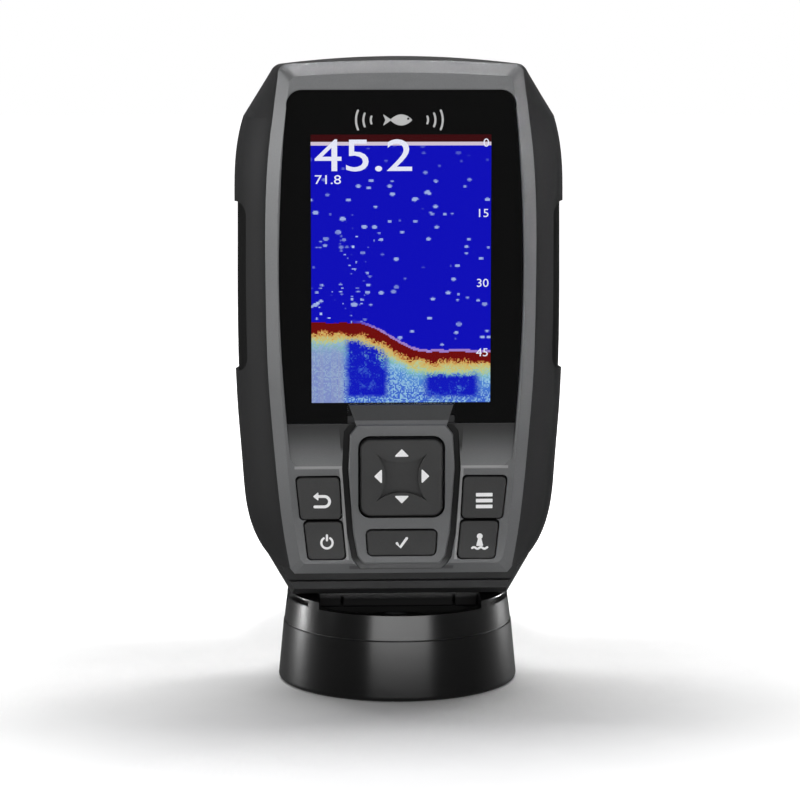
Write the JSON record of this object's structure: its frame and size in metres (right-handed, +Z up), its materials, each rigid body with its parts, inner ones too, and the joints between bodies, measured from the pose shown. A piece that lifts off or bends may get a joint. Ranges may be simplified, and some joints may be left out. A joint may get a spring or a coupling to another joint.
{
  "type": "fish finder",
  "caption": "Upright handheld-size fish finder: tall screen over a keypad, tapered housing on a round tilt and swivel stand with quick-release cradle.",
  "frame": {"origin": "centre of the stand's round underside", "axes": "+Z up, the screen faces -Y, +X to the right of someone facing the screen"},
  "size_m": [0.0916, 0.0686, 0.1779],
  "materials": {
    "stand_black": "satin moulded, fine texture",
    "glide_nylon": "smooth",
    "steel": "zinc plated",
    "cradle_black": "fine moulded texture",
    "latch_grey": "fine moulded texture",
    "housing_dark": "fine moulded texture",
    "seal_rubber": "soft",
    "bezel_grey": "satin paint",
    "lens_glass": "hard coated, anti-glare",
    "lcd_face": "lit display",
    "shield_tin": "tinned",
    "flex_film": "polyimide film",
    "key_grey": "soft-touch, printed symbols",
    "mat_silicone": "silicone",
    "board_green": "solder mask",
    "ceramic": "fired, silvered face",
    "component_black": "moulded",
    "pin_brass": "gold plated",
    "vent_white": "expanded PTFE film"
  },
  "bodies": {
    "base": {"swivel_base": "stand_black", "swivel_glide_ring": "glide_nylon", "swivel_washer": "steel", "swivel_screw": "steel"},
    "platform": {"swivel_platform": "stand_black", "tilt_bolt": "steel", "tilt_nut": "steel", "tilt_washers": "glide_nylon"},
    "head": {"tilt_cradle": "cradle_black", "latch_pin": "steel", "latch_spring": "steel", "rear_housing": "housing_dark", "housing_gasket": "seal_rubber", "housing_screws": "steel", "front_bezel": "bezel_grey", "lens_window": "lens_glass", "lens_gasket": "seal_rubber", "lcd_panel": "lcd_face", "lcd_backlight": "shield_tin", "display_flex": "flex_film", "keypad_mat": "mat_silicone", "dome_switches": "steel", "main_board": "board_green", "board_screws": "steel", "sonar_shield": "shield_tin", "gps_antenna": "ceramic", "buzzer": "component_black", "board_header": "component_black", "connector_shell": "component_black", "connector_insert": "component_black", "connector_pins": "pin_brass", "connector_nut": "component_black", "connector_seal": "seal_rubber", "vent_membrane": "vent_white"},
    "latch": {"release_latch": "latch_grey"},
    "dpad_rocker": {"dpad_pivot": "mat_silicone"},
    "dpad": {"key_dpad": "key_grey"},
    "select_button": {"key_select": "key_grey"},
    "back_button": {"key_back": "key_grey"},
    "power_button": {"key_power": "key_grey"},
    "menu_button": {"key_menu": "key_grey"},
    "waypoint_button": {"key_waypoint": "key_grey"}
  },
  "joints": [
    {"name": "swivel", "type": "hinge", "parent": "base", "child": "platform", "pos_m": [0, 0, 0.0171], "axis": [0, 0, 1], "range_deg": [-90, 90]},
    {"name": "tilt", "type": "hinge", "parent": "platform", "child": "head", "pos_m": [0, -0.001, 0.0244], "axis": [-1, 0, 0], "range_deg": [0, 30]},
    {"name": "latch_lever", "type": "hinge", "parent": "head", "child": "latch", "pos_m": [0, 0.0194, 0.113], "axis": [-1, 0, 0], "range_deg": [0, 12], "stiffness_Nm_per_rad": 0.3, "springref_deg": -5.73},
    {"name": "dpad_up_down", "type": "hinge", "parent": "head", "child": "dpad_rocker", "pos_m": [0, -0.027, 0.0628], "axis": [1, 0, 0], "range_deg": [-2.5, 2.5], "stiffness_Nm_per_rad": 0.6},
    {"name": "dpad_left_right", "type": "hinge", "parent": "dpad_rocker", "child": "dpad", "pos_m": [0, -0.027, 0.0628], "axis": [0, 0, 1], "range_deg": [-2.5, 2.5], "stiffness_Nm_per_rad": 0.6},
    {"name": "select_press", "type": "slide", "parent": "head", "child": "select_button", "axis": [0, 1, 0], "range_m": [0, 0.0008], "stiffness_N_per_m": 900, "springref_m": -0.0006},
    {"name": "back_press", "type": "slide", "parent": "head", "child": "back_button", "axis": [0, 1, 0], "range_m": [0, 0.0008], "stiffness_N_per_m": 900, "springref_m": -0.0006},
    {"name": "power_press", "type": "slide", "parent": "head", "child": "power_button", "axis": [0, 1, 0], "range_m": [0, 0.0008], "stiffness_N_per_m": 900, "springref_m": -0.0006},
    {"name": "menu_press", "type": "slide", "parent": "head", "child": "menu_button", "axis": [0, 1, 0], "range_m": [0, 0.0008], "stiffness_N_per_m": 900, "springref_m": -0.0006},
    {"name": "waypoint_press", "type": "slide", "parent": "head", "child": "waypoint_button", "axis": [0, 1, 0], "range_m": [0, 0.0008], "stiffness_N_per_m": 900, "springref_m": -0.0006}
  ]
}
